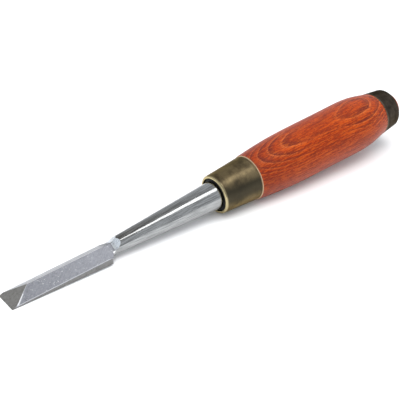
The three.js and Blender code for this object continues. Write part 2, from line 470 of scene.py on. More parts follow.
@dataclass(frozen=True)
class GroundSteel(Finish):
    """Steel off the grinding wheel: fine slanting scratches over soft mottling.

    Attributes:
        slant: Direction of the scratches across the blade, in degrees.
        scratch: Depth of the scratches in mm.
        specks: Strength of the small bright specks, 0 to 1.
        dark_tone: Brightness of the darkest mottling as a share of the colour.
        pale_tone: Brightness of the palest mottling as a share of the colour.
    """

    name: str
    colour: Colour
    roughness: float
    slant: float
    scratch: float
    specks: float = 0.0
    dark_tone: float = 0.62
    pale_tone: float = 1.28

    def dress(self, r: Recipe) -> None:
        """Puts in scratches, mottling, bright specks, and rubbed arrises that also carry painted highlights.

        Args:
            r: Recipe of the material.
        """
        scratches = r.noise((2.4, 0.16, 0.16), 5.0, 0.72, (0.0, 0.0, self.slant))
        fine = r.noise((26.0, 1.2, 1.2), 2.0, 0.6, (0.0, 0.0, self.slant + 5.0))
        cloud = r.noise((0.22, 0.35, 0.35), 4.0, 0.6)
        mottle = r.noise((0.9, 0.9, 0.9), 4.0, 0.75)
        glints = r.noise((1.5, 1.5, 1.5), 1.0, 0.5)
        tone = r.total(
            r.span(scratches, MIDDLE, (-0.13, 0.13)),
            r.span(mottle, MIDDLE, (-0.13, 0.13)),
            r.span(cloud, MIDDLE, (0.42, 0.62)),
        )
        dark, pale = toned(self.colour, self.dark_tone), toned(self.colour, self.pale_tone)
        colour = r.ramp(tone, ((0.2, dark), (0.5, self.colour), (0.85, pale)))
        colour = r.mix(r.span(glints, (0.66, 0.73), (0.0, self.specks)), colour, BRIGHT_STEEL)
        # Rubbed edges turn bright; on the blade this mix also paints highlights, a glint and the far facet's
        # reflection.
        colour = r.mix(r.wear_and_sheen(), colour, BRIGHT_STEEL)
        rough = r.total(
            r.span(cloud, MIDDLE, (-0.05, 0.05)), r.span(scratches, MIDDLE, (-0.06, 0.06)), self.roughness
        )
        r.bumps((scratches, self.scratch), (fine, self.scratch * 0.5))
        r.set(base_color=colour, metallic=1.0, roughness=rough)


@dataclass(frozen=True)
class PolishedSteel(Finish):
    """Bright polished steel with lengthwise streaks, the darkest a share of its colour."""

    name: str = "steel_polished"
    colour: Colour = (0.395, 0.402, 0.402)
    roughness: float = 0.12
    streak_tone: float = 0.58

    def dress(self, r: Recipe) -> None:
        """Puts in streaks along the neck, fine hairs and clouds of dullness.

        Args:
            r: Recipe of the material.
        """
        streaks = r.noise((0.03, 1.9, 1.9), 3.0, 0.65)
        hairs = r.noise((0.25, 9.0, 9.0), 2.0, 0.6)
        cloud = r.noise((0.12, 0.3, 0.3), 3.0, 0.6)
        colour = r.ramp(streaks, ((0.38, toned(self.colour, self.streak_tone)), (0.60, self.colour)))
        rough = r.total(
            r.span(streaks, MIDDLE, (-0.04, 0.05)), r.span(cloud, MIDDLE, (-0.03, 0.05)), self.roughness
        )
        r.bumps((streaks, 0.02), (hairs, 0.002))
        r.set(base_color=colour, metallic=1.0, roughness=rough)


@dataclass(frozen=True)
class AntiqueBrass(Finish):
    """Darkened brass, brushed round and round, rubbed back to gold on its lips.

    Attributes:
        painted_shade_colour: Colour of the shade painted on the flanks, in a band by height above the axis.
        flank: How strongly the flanks are painted with shade, 0 to 1.
        flank_top: Heights between which the painted shade fades out upwards, in mm from the axis.
        flank_foot: Heights between which it fades out downwards.
    """

    name: str = "brass_antique"
    dark: Colour = (0.070, 0.054, 0.035)
    mid: Colour = (0.185, 0.142, 0.077)
    pale_tone: float = 1.5
    gold: Colour = (0.52, 0.44, 0.25)
    painted_shade_colour: Colour = (0.045, 0.040, 0.028)
    flank: float = 0.92
    flank_top: Pair = (8.8, 4.8)
    flank_foot: Pair = (-5.5, 1.0)

    def dress(self, r: Recipe) -> None:
        """Puts in brushing round the axis, cloudy patina, painted shade on the flanks and gold lips.

        Args:
            r: Recipe of the material.
        """
        brushing = r.noise((7.0, 0.10, 0.10), 4.0, 0.7)
        hairs = r.noise((30.0, 0.4, 0.4), 2.0, 0.6)
        cloud = r.noise((0.16, 0.14, 0.14), 4.0, 0.6)
        tone = r.total(r.span(brushing, MIDDLE, (-0.16, 0.16)), r.span(cloud, MIDDLE, (0.2, 0.8)))
        colour = r.ramp(tone, ((0.1, self.dark), (0.55, self.mid), (1.0, toned(self.mid, self.pale_tone))))
        # Painted shade: the flanks darken in a band of heights above the axis.
        height = r.parts(r.place)["Z"]
        flanks = r.product(r.span(height, self.flank_top), r.span(height, self.flank_foot), self.flank)
        colour = r.mix(flanks, colour, self.painted_shade_colour)
        rubbed = r.product(r.wear_and_sheen(), r.span(brushing, (0.2, 0.6), (0.7, 1.0)))
        colour = r.mix(rubbed, colour, self.gold)
        rough = r.span(r.sums("SUBTRACT", brushing, r.wear_and_sheen()), (-0.6, 0.7), (0.18, 0.36))
        r.bumps((brushing, 0.012), (hairs, 0.004))
        r.set(base_color=colour, metallic=1.0, roughness=rough, specular_tint=(0.66, 0.60, 0.48))


@dataclass(frozen=True)
class DarkHoop(Finish):
    """Chemically darkened steel: nearly black, with rubbed lips and faint turning marks."""

    name: str = "hoop_gunmetal"
    tones: Stops = (
        (0.25, (0.033, 0.027, 0.022)), (0.5, (0.064, 0.052, 0.041)), (0.8, (0.112, 0.091, 0.072)),
    )
    rubbed: Colour = (0.32, 0.26, 0.19)

    def dress(self, r: Recipe) -> None:
        """Puts in turning marks, dark patches and rubbed lips.

        Args:
            r: Recipe of the material.
        """
        turning = r.noise((5.0, 0.12, 0.12), 3.0, 0.6)
        cloud = r.noise((0.25, 0.25, 0.25), 4.0, 0.65)
        grain = r.noise((3.0, 3.0, 3.0), 3.0, 0.6)
        colour = r.ramp(r.total(r.span(turning, MIDDLE, (-0.12, 0.12)), cloud), self.tones)
        lips = r.product(r.wear_and_sheen(), r.span(cloud, (0.35, 0.6), (0.25, 0.8)))
        colour = r.mix(lips, colour, self.rubbed)
        rough = r.span(r.sums("SUBTRACT", cloud, r.wear_and_sheen()), (-0.6, 0.8), (0.28, 0.46))
        r.bumps((turning, 0.01), (grain, 0.012))
        r.set(base_color=colour, metallic=1.0, roughness=rough, specular_tint=(0.44, 0.43, 0.40))


@dataclass(frozen=True)
class WasherBlack(Finish):
    """Black rubbery washer with a fine pebbled skin."""

    name: str = "washer_rubber"
    tones: Stops = ((0.3, (0.006, 0.006, 0.006)), (0.7, (0.02, 0.019, 0.018)))

    def dress(self, r: Recipe) -> None:
        """Puts in the pebbles.

        Args:
            r: Recipe of the material.
        """
        pebble = r.noise((5.0, 5.0, 5.0), 3.0, 0.6)
        r.bumps((pebble, 0.03))
        rough = r.span(pebble, (0.2, 0.8), (0.6, 0.85))
        r.set(base_color=r.ramp(pebble, self.tones), metallic=0.0, roughness=rough)


@dataclass(frozen=True)
class StainedWood(Finish):
    """Flat-sawn wood under orange-red stain and lacquer.

    Growth rings are shells round a pith line far below the handle. A barrel-shaped handle cuts them
    in nested arches that open towards the butt, and in straight lines along the sides.

    Attributes:
        ring: Thickness of a growth ring in mm.
        pith_depth: Depth of the pith line below the axis in mm.
        lean: Turn of the rings about the axis, in degrees.
        rise: Slope of the rings along the axis, in degrees.
        plain_at: Place along the axis where the figure is faintest, in mm.
        figure: Colours through a growth ring.
        plain: Colours between the rings.
        front: Colour towards which the wood darkens at the ferrule.
        front_fade: Places along the axis between which it darkens, in mm.
        edge_highlight: Pale colour painted along the rounded front edge as a highlight.
    """

    name: str = "wood_stained"
    ring: float = 1.25
    pith_depth: float = 62.0
    lean: float = 19.0
    rise: float = 2.8
    plain_at: float = 190.0
    figure: Stops = (
        (0.0, (0.50, 0.115, 0.028)), (0.06, (0.36, 0.065, 0.016)), (0.12, (0.075, 0.008, 0.009)),
        (0.30, (0.13, 0.014, 0.008)), (0.60, (0.300, 0.029, 0.0028)), (0.93, (0.35, 0.050, 0.009)),
        (1.0, (0.50, 0.115, 0.028)),
    )
    plain: Stops = (
        (0.3, (0.21, 0.017, 0.003)), (0.55, (0.300, 0.029, 0.0028)), (0.8, (0.36, 0.048, 0.0055)),
    )
    dark_dash: Colour = (0.095, 0.009, 0.005)
    pale_dash: Colour = (0.50, 0.096, 0.008)
    pore: Colour = (0.085, 0.010, 0.006)
    fleck: Colour = (0.50, 0.11, 0.025)
    front: Colour = (0.09, 0.010, 0.012)
    front_fade: Pair = (172.0, 142.0)
    edge_highlight: Colour = (0.70, 0.55, 0.36)

    def shell(self, r: Recipe, height: Socket, side: Socket) -> Socket:
        """Distance from the pith line, sqrt(depth^2 + side^2), made a little uneven.

        Args:
            r: Recipe of the material.
            height: Height above the axis, leaning with the rings.
            side: Distance to the side of the axis.

        Returns:
            The distance in mm.
        """
        wander = r.noise((0.020, 0.045, 0.045), 1.0, 0.4)
        ripple = r.noise((0.09, 0.5, 0.5), 3.0, 0.55)
        depth = r.total(height, self.pith_depth)
        even = r.sums("SQRT", r.sums("MULTIPLY_ADD", depth, depth, r.product(side, side)))
        reach = (0.2, 0.8)
        return r.total(even, r.span(wander, reach, (-1.1, 1.1)), r.span(ripple, reach, (-0.07, 0.07)))

    def dress(self, r: Recipe) -> None:
        """Puts in growth rings, dashes along the grain, pores, flecks and a painted highlight on the front
        edge.

        Args:
            r: Recipe of the material.
        """
        leaning = r.parts(r.stretched((1.0, 1.0, 1.0), (-self.lean, -self.rise, 0.0)))
        along = r.parts(r.place)["X"]
        phase = r.sums("FRACT", r.sums("DIVIDE", self.shell(r, leaning["Z"], leaning["Y"]), self.ring))
        strength = r.noise((0.03, 0.16, 0.16), 2.0, 0.5)
        off_plain = r.sums("ABSOLUTE", r.sums("SUBTRACT", along, self.plain_at))
        shown = r.product(
            r.span(off_plain, (6.0, 26.0), (0.35, 1.0)),
            r.span(strength, MIDDLE, (0.7, 1.0)),
            r.span(r.sums("ABSOLUTE", leaning["Y"]), (6.0, 13.0), (1.0, 0.42)),
        )
        plain = r.ramp(r.noise((0.05, 0.35, 0.35), 4.0, 0.6), self.plain)
        colour = r.mix(shown, plain, r.ramp(phase, self.figure))
        rows = r.noise((0.07, 1.9, 1.9), 1.0, 0.5)
        ticks = r.noise((0.48, 2.8, 2.8), 2.0, 0.6)
        dashes = r.sums("MULTIPLY_ADD", rows, 0.5, r.product(ticks, 0.5))
        pores = r.noise((0.42, 2.6, 2.6), 2.0, 0.6)
        flecks = r.noise((0.9, 7.0, 7.0), 1.0, 0.5)
        for share, tint in (
            (r.span(dashes, (0.50, 0.58), (0.0, 0.66)), self.dark_dash),
            (r.span(dashes, (0.485, 0.41), (0.0, 0.42)), self.pale_dash),
            (r.product(r.span(pores, (0.54, 0.64)), 0.6), self.pore),
            (r.span(flecks, (0.56, 0.75), (0.0, 0.4)), self.fleck),
            (r.span(along, self.front_fade, (0.0, 0.30)), self.front),
            # Painted highlight on the handle's rounded front edge.
            (r.product(r.wear_and_sheen(), 0.85), self.edge_highlight),
        ):
            colour = r.mix(share, colour, tint)
        r.bumps((pores, 0.03), (dashes, 0.04))
        r.set(
            base_color=colour, metallic=0.0, roughness=r.span(pores, MIDDLE, (0.38, 0.5)),
            coat_weight=0.05, coat_roughness=0.2, specular_ior_level=0.28, specular_tint=(1.0, 0.5, 0.16),
        )


# ---- pieces


def placed(name: str, data: bpy.types.ID) -> bpy.types.Object:
    """Puts a mesh, a lamp or a camera in the scene.

    Args:
        name: Name of the object.
        data: The mesh, lamp or camera.

    Returns:
        The object, at the origin.
    """
    item = bpy.data.objects.new(name, data)
    bpy.context.scene.collection.objects.link(item)
    return item


def rubbing(outline: np.ndarray, *lips: tuple[float, float, float]) -> np.ndarray:
    """Wear along an outline: humps at the lips (place, reach, strength), added up and held at 1."""
    humps = [strength * raised(outline[:, 0], place, reach) for place, reach, strength in lips]
    return np.clip(sum(humps), 0, 1)


class Piece(ABC):
    """A physical piece of the chisel that stands for one CAD node, with finishes by their numbers."""

    name: str
    node: str
    slot: Slot
    finishes: tuple[Finish, ...]

    @abstractmethod
    def skin(self) -> Skin:
        """Works out the piece's surface."""

    def build(self, axis: TurningAxis) -> bpy.types.Object:
        """Makes the piece, dresses it and puts it in its CAD node's stead.

        Args:
            axis: The handle's axis in the row frame.

        Returns:
            The piece's object.
        """
        piece = placed(self.name, self.skin().mesh(self.name, axis))
        for finish in self.finishes:
            piece.data.materials.append(finish.material(axis))
        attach(piece, "root")
        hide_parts(self.node)
        self.report(piece.data)
        return piece

    def report(self, mesh: bpy.types.Mesh) -> None:
        """Logs how many faces the piece has and how far its box is from its CAD node's.

        Args:
            mesh: The piece's mesh.
        """
        corners = np.empty(len(mesh.vertices) * 3)
        mesh.vertices.foreach_get("co", corners)
        corners = corners.reshape(-1, 3)
        low, high = (np.array(corner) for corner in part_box(self.node))
        off = max(np.abs(corners.min(0) - low).max(), np.abs(corners.max(0) - high).max()) / MM
        log.info("%s: %d faces, box within %.2f mm of node %s", self.name, len(mesh.polygons), off, self.node)


@dataclass
class BladeForging(Piece):
    """Blade, shoulder, neck and tang in one piece of steel. Sizes in mm.

    Half of the blade's section is counted in columns from the middle of its back: the back, an
    arris, the side, an arris, the facet and half of the ridge's arris.

    Attributes:
        arris_share: Most of the side's height that an arris may take.
        heel: Where the rows stand upright behind the bevel. heel_shares place the rows before it.
        settling: Length behind the flare over which the lines become evenly spaced.
        painted_glint: Columns from the ridge along which the near facet's edge carries a painted glint.
    """

    stations: Stations
    name: str = "blade_forging"
    node: str = "blade"
    slot: Slot = Slot.STEEL
    finishes: tuple[Finish, ...] = (
        GroundSteel("steel_ground", (0.290, 0.297, 0.326), 0.42, 52.0, 0.012, 0.6),
        GroundSteel("steel_bevel", (0.315, 0.305, 0.288), 0.40, 88.0, 0.010),
        PolishedSteel(),
        # Painted reflection: the cove is far brighter and bluer than the ground steel beside it.
        GroundSteel("steel_cove_reflection", (0.74, 0.79, 0.84), 0.30, 90.0, 0.008),
        # The lands are ground lengthwise; their darker colour is painted shade.
        GroundSteel("steel_side_shaded", (0.195, 0.195, 0.19), 0.42, 0.0, 0.010),
    )
    edge_width: float = 12.4
    shoulder_width: float = 12.1
    edge_ridge: float = 4.7
    shoulder_ridge: float = 7.25
    edge_side: float = 0.85
    shoulder_side: float = 3.7
    bevel_angle: float = 25.0
    back_tilt: float = 3.6
    edge_drop: float = 1.04
    arris: float = 0.24
    arris_share: float = 0.4
    flare_length: float = 4.6
    cove_start: float = 1.6
    cove_radius: float = 9.5
    cove_edge: float = 0.1
    waist_radius: float = 3.75
    end_radius: float = 7.5
    end_round: float = 0.9
    end_step: float = 0.001
    tang_length: float = 64.0
    tang_root: float = 6.6
    tang_tip: float = 3.4
    heel: float = 16.0
    heel_shares: tuple[float, ...] = (0.0, 0.02, 0.05, 0.12, 0.25, 0.4, 0.6, 0.8)
    cove_step: float = 0.11
    cove_end: float = 9.0
    plain_neck: float = 8.5
    settling: float = 8.0
    back_columns: int = 28
    side_columns: int = 14
    facet_columns: int = 60
    arris_columns: int = 6
    # Rubbed ridge and arrises, each also a painted highlight; a painted glint on the near facet's edge; a
    # painted reflection lightening the far facet.
    ridge_wear_and_sheen: int = 4
    arris_wear_and_sheen: int = 2
    painted_glint: tuple[int, int] = (34, 68)
    arris_rub_and_sheen: float = 0.45
    far_facet_sheen: float = 0.3

    @property
    def columns(self) -> int:
        """Number of columns round the forging."""
        return 2 * (self.back_columns + self.side_columns + self.facet_columns + 3 * self.arris_columns)

    @property
    def facing(self) -> np.ndarray:
        """How many columns each column is away from the ridge."""
        return np.abs(np.arange(self.columns) - self.columns // 2)

    @property
    def tilt(self) -> float:
        """Angle between the blade's back and the axis, in radians."""
        return math.radians(self.back_tilt)

    @property
    def shoulder_drop(self) -> float:
        """How far the blade's back lies below the axis at the shoulder."""
        return self.edge_drop + self.stations.shoulder * math.sin(self.tilt)

    @property
    def neck_end(self) -> float:
        """Where the neck ends."""
        return self.stations.washer - self.stations.gap

    def half_section(self, width: float, side: float, ridge: float) -> np.ndarray:
        """Right half of the blade's section, from the middle of the back round to the ridge.

        Straight runs join at arrises, each a quadratic curve from one run to the next:
        (1 - t)^2 * before + 2t(1 - t) * corner + t^2 * after. The ridge's stops at t = 1/2.

        Args:
            width: Width of the blade.
            side: Height of the upright side.
            ridge: Height of the ridge.

        Returns:
            (columns / 2 + 1, 2) array of (across, up from the back).
        """
        half = width / 2
        corners = np.array([[0.0, 0.0], [half, 0.0], [half, side], [0.0, ridge], [-half, side]])
        counts = (self.back_columns, self.side_columns, self.facet_columns)
        reach = min(self.arris, self.arris_share * side)
        runs: list[np.ndarray] = []
        start = corners[0]
        for index, count in enumerate(counts, start=1):
            corner = corners[index]
            inward, onward = corners[index - 1] - corner, corners[index + 1] - corner
            before = corner + inward / np.linalg.norm(inward) * reach
            after = corner + onward / np.linalg.norm(onward) * reach
            runs.append(straight(tuple(start), tuple(before), count))
            whole = self.arris_columns * (2 if index == len(counts) else 1)
            share = np.arange(self.arris_columns)[:, None] / whole
            runs.append((1 - share) ** 2 * before + 2 * share * (1 - share) * corner + share**2 * after)
            start = after
        top = 0.25 * before + 0.5 * corner + 0.25 * after
        return np.vstack([*runs, top[None, :]])

    def section(self, width: float, side: float, ridge: float) -> np.ndarray:
        """The whole section: the right half, then its mirror image back to the start."""
        half = self.half_section(width, side, ridge)
        return np.vstack([half, half[-2:0:-1] * np.array([-1.0, 1.0])])

    def sections(self) -> tuple[np.ndarray, np.ndarray]:
        """The blade's sections at the cutting edge and at the shoulder."""
        edge = self.section(self.edge_width, self.edge_side, self.edge_ridge)
        return edge, self.section(self.shoulder_width, self.shoulder_side, self.shoulder_ridge)

    def lines(self) -> list[np.ndarray]:
        """The ends of the blade's straight lines, at the cutting edge and at the shoulder.

        A point of the section at x along the back goes to x * cos + up * sin along the axis and
        up * cos - x * sin - edge drop above it, for the back's tilt.

        Returns:
            Two (columns, 3) arrays about the handle's axis.
        """
        cos, sin = math.cos(self.tilt), math.sin(self.tilt)
        ends = []
        for along, shape in zip((0.0, self.stations.shoulder), self.sections()):
            across, up = shape.T
            ends.append(np.stack([
                along * cos + up * sin, across, up * cos - along * sin - self.edge_drop,
            ], axis=-1))
        return ends

    def bevel_share(self) -> np.ndarray:
        """Where each line meets the cutting bevel: up / (length * tan(bevel) - rise of the line).

        Returns:
            Shares of the way from the edge to the shoulder, one per column.
        """
        edge, shoulder = (shape[:, 1] for shape in self.sections())
        slope = math.tan(math.radians(self.bevel_angle))
        return edge / (self.stations.shoulder * slope - (shoulder - edge))

    def neck(self, along: np.ndarray) -> np.ndarray:
        """Radius of the straight conical neck."""
        share = (along - self.stations.shoulder) / (self.stations.mouth - self.stations.shoulder)
        return self.waist_radius + (self.end_radius - self.waist_radius) * share

    def flare(self, along: np.ndarray) -> np.ndarray:
        """Radius of the shoulder's flare: a quarter of an ellipse from the corner into the neck.

        Args:
            along: Places along the axis.

        Returns:
            The radii, out of the way in front of the shoulder.
        """
        corner = math.hypot(self.shoulder_width / 2, self.shoulder_drop)
        end = float(self.neck(np.array(self.stations.shoulder + self.flare_length)))
        share = np.clip((along - self.stations.shoulder) / self.flare_length, 0.0, 1.0)
        radius = corner - (corner - end) * np.sqrt(1 - (1 - share) ** 2)
        return np.where(along <= self.stations.shoulder, 2 * corner, radius)

    def cove_lift(self, along: np.ndarray) -> np.ndarray:
        """How far the wheel has lifted off the facets: radius - sqrt(radius^2 - run^2)."""
        run = np.clip(along - self.stations.shoulder - self.cove_start, 0.0, self.cove_radius)
        return self.cove_radius - np.sqrt(self.cove_radius**2 - run**2)

    def facet_distance(self) -> float:
        """Distance of the facets' planes from the axis, at the shoulder."""
        slope = math.atan2(self.shoulder_ridge - self.shoulder_side, self.shoulder_width / 2)
        return (self.shoulder_ridge - self.shoulder_drop) * math.cos(slope)

    def rows(self, edge: np.ndarray, shoulder: np.ndarray) -> np.ndarray:
        """Where each row of points lies along the axis, crowded in the shoulder's flare and cove.

        Args:
            edge: Lines' ends at the cutting edge.
            shoulder: Lines' ends at the shoulder.

        Returns:
            (rows, columns) array. The first row lies on the bevel, and the rows straighten behind it.
        """
        at = self.stations.shoulder
        bend = np.radians(np.linspace(0.0, 90.0, 56))
        even = np.unique(np.concatenate([
            np.linspace(self.heel, at - 2, 10),
            at + self.flare_length * (1 - np.cos(bend)),
            np.arange(at + self.cove_start, at + self.cove_end, self.cove_step),
            np.linspace(at + self.cove_end, self.neck_end - self.end_round, 26),
        ]).round(4))
        bevel = edge[:, 0] + (shoulder[:, 0] - edge[:, 0]) * self.bevel_share()
        share = np.array(self.heel_shares)[:, None]
        return np.vstack([bevel * (1 - share) + even[0] * share, all_round(even, self.columns)])

    def settled(self, along: np.ndarray, angle: np.ndarray) -> np.ndarray:
        """Angles that turn smoothly into even ones behind the flare: s^2 * (3 - 2s) of the way.

        Args:
            along: Places along the axis.
            angle: Angles of the blade's lines.

        Returns:
            The angles of the rows.
        """
        start = self.stations.shoulder + self.flare_length
        share = np.clip((along - start) / self.settling, 0.0, 1.0)
        share = share**2 * (3 - 2 * share)
        return angle * (1 - share) + even_angles(self.columns) * share

    def numbers(self, along: np.ndarray, swept: np.ndarray) -> np.ndarray:
        """Which finish each face has.

        Args:
            along: Places along the axis.
            swept: Where the surface is the grinding wheel's.

        Returns:
            (rows, columns) array of Face numbers.
        """
        blade = along < self.stations.shoulder
        low = self.facet_columns + 2 * self.arris_columns
        lands = (self.facing > low) & (self.facing < self.columns // 2 - self.back_columns)
        numbers = np.full(along.shape, int(Face.POLISHED))
        numbers[blade] = Face.GROUND
        ground = swept & (along >= self.stations.shoulder)
        cove = self.cove_lift(along) > self.cove_edge
        numbers[ground] = np.where(cove[ground], Face.COVE, Face.GROUND)
        numbers[blade & lands] = Face.SIDE
        return numbers

    def wear_and_highlights(self, along: np.ndarray) -> np.ndarray:
        """Rubbing with painted highlights on the ridge, the arrises and the bevel's rim, a painted reflection
        on the far facet, and a painted glint beside the rim.

        Args:
            along: Places along the axis.

        Returns:
            (rows, columns) array, 0 to 1.
        """
        middle = self.columns // 2
        arris = self.facet_columns + 3 * self.arris_columns // 2
        far = (np.arange(self.columns) < middle) & (self.facing < arris)
        # Painted reflection: the far facet alone is lightened.
        rub_and_sheen = np.where(far, self.far_facet_sheen, 0.0)
        rub_and_sheen = np.maximum(rub_and_sheen, np.where(np.abs(self.facing - arris) <= self.arris_wear_and_sheen, self.arris_rub_and_sheen, 0.0))
        rub_and_sheen[self.facing <= self.ridge_wear_and_sheen] = 1.0
        wear_and_sheen = np.where(along < self.stations.shoulder, rub_and_sheen, 0.0)
        wear_and_sheen[0] = 0.0
        # The bevel's rim: rubbed steel and a painted highlight.
        wear_and_sheen[1, self.facing < self.facet_columns + self.arris_columns] = 1.0
        # Painted glint along the lower half of the near facet's edge.
        wear_and_sheen[2, middle + self.painted_glint[0] : middle + self.painted_glint[1]] = 1.0
        return wear_and_sheen

    def skin(self) -> Skin:
        """Works out the forging's surface.

        Every column is a straight line of the blade as far as the shoulder. From there its radius
        about the axis is min(max(min(bar, flare), neck), bar * (facet + lift) / facet), which is the
        bar cut back to the flare, joined to the neck and swept by the wheel that ground the facets.

        Returns:
            The forging's skin.
        """
        at = self.stations.shoulder
        edge, shoulder = self.lines()
        along = self.rows(edge, shoulder)
        share = (np.minimum(along, at + self.flare_length) - edge[:, 0]) / (shoulder[:, 0] - edge[:, 0])
        bar = edge + (shoulder - edge) * share[..., None]
        angle = np.unwrap(np.arctan2(bar[..., 2], bar[..., 1]), axis=1)
        angle += (-np.pi / 2 - angle[:, :1])
        bar_radius = np.hypot(bar[..., 1], bar[..., 2])
        facet = self.facet_distance()
        swept = bar_radius * (facet + self.cove_lift(along)) / facet
        neck = self.neck(along)
        shaped = np.minimum(np.maximum(np.minimum(bar_radius, self.flare(along)), neck), swept)
        radius = np.where(along <= at, bar_radius, shaped)
        radius = np.where(along >= at + self.plain_neck, neck, radius)
        body = round_axis(along, radius, self.settled(along, angle))
        tail = self.tail()
        return Skin(
            np.vstack([body, tail]),
            end_pole=(self.neck_end + self.tang_length, 0.0, 0.0),
            wear_and_sheen=np.vstack([self.wear_and_highlights(along), np.zeros(tail.shape[:2])]),
            finish=np.vstack([
                self.numbers(along, np.isclose(radius, swept, rtol=0.0, atol=1e-6)),
                np.full(tail.shape[:2], int(Face.POLISHED)),
            ]),
            flat_start=Face.BEVEL,
        )

    def tail(self) -> np.ndarray:
        """The neck's rounded end, its end face and the square tapered tang.

        Returns:
            (rows, columns, 3) array.
        """
        end, turn = self.neck_end, self.end_round
        rounded = arc((end - turn, self.end_radius - turn), (turn, turn), (80, 0), 9)
        along = np.array([end, end + self.end_step, end + self.tang_length])
        sides = np.array([self.tang_root, self.tang_root, self.tang_tip])
        tang = np.stack([all_round(along, self.columns), square_bar(sides, self.columns)], axis=-1)
        return np.vstack([turned(rounded, self.columns), turned(tang, self.columns)])


@dataclass
class Ferrule(Piece):
    """Brass ferrule with a rounded front lip. Sizes in mm."""

    stations: Stations
    name: str = "brass_ferrule"
    node: str = "ferrule"
    slot: Slot = Slot.BRASS
    finishes: tuple[Finish, ...] = (AntiqueBrass(),)
    mouth_bore: float = 8.95
    mouth_round: float = 0.3
    mouth_radius: float = 10.35
    rear_radius: float = 11.95
    rear_bore: float = 10.75
    lip: float = 1.1
    cone_run: float = 0.3
    cone_rise: float = 0.03
    rim: float = 0.4
    bare_depth: float = 0.5
    columns: int = 192

    def skin(self) -> Skin:
        """Works out the ferrule: rounded lip, straight cone, small rear rim, tapered bore.

        Returns:
            The ferrule's skin, with no wear inside its bore.
        """
        front, rear = self.stations.mouth, self.stations.ferrule_rear
        inner, lip, rim = self.mouth_round, self.lip, self.rim
        cone = (front + lip + self.cone_run, self.mouth_radius + self.cone_rise)
        outline = np.vstack([
            arc((front + inner, self.mouth_bore + inner), (inner, inner), (270, 180), 6)[:-1],
            arc((front + lip, self.mouth_radius - lip), (lip, lip), (180, 90), 14),
            straight(cone, (rear - rim, self.rear_radius), 12),
            arc((rear - rim, self.rear_radius - rim), (rim, rim), (90, 0), 7),
            straight((rear, self.rear_bore), (front + inner, self.mouth_bore), 8),
        ])
        rubbed = rubbing(outline, (front + 0.15, 1.3, 1.0), (rear, 0.36, 0.5))
        bore = (outline[:, 1] < self.mouth_bore + 0.2) & (outline[:, 0] > front + self.bare_depth)
        wear_and_sheen = all_round(np.where(bore, 0.0, rubbed), self.columns)
        return Skin(turned(outline, self.columns), endless=True, wear_and_sheen=wear_and_sheen)


@dataclass
class Washer(Piece):
    """Black washer in the ferrule's mouth. Sizes in mm."""

    stations: Stations
    name: str = "mouth_washer"
    node: str = "shock_washer"
    slot: Slot = Slot.WASHER
    finishes: tuple[Finish, ...] = (WasherBlack(),)
    thickness: float = 2.6
    bore: float = 4.967
    front_radius: float = 8.72
    rear_radius: float = 8.93
    soft: float = 0.25
    columns: int = 96

    def skin(self) -> Skin:
        """Works out the washer: two flat faces with softened edges, and a plain bore.

        Returns:
            The washer's skin.
        """
        front, soft = self.stations.washer, self.soft
        rear = front + self.thickness
        outline = np.vstack([
            straight((front, self.bore), (front, self.front_radius - soft), 8),
            arc((front + soft, self.front_radius - soft), (soft, soft), (180, 90), 6),
            arc((rear - soft, self.rear_radius - soft), (soft, soft), (90, 0), 6),
            straight((rear, self.rear_radius - 2 * soft), (rear, self.bore), 5),
            straight((rear, self.bore), (front, self.bore), 4),
        ])
        return Skin(turned(outline, self.columns), endless=True)


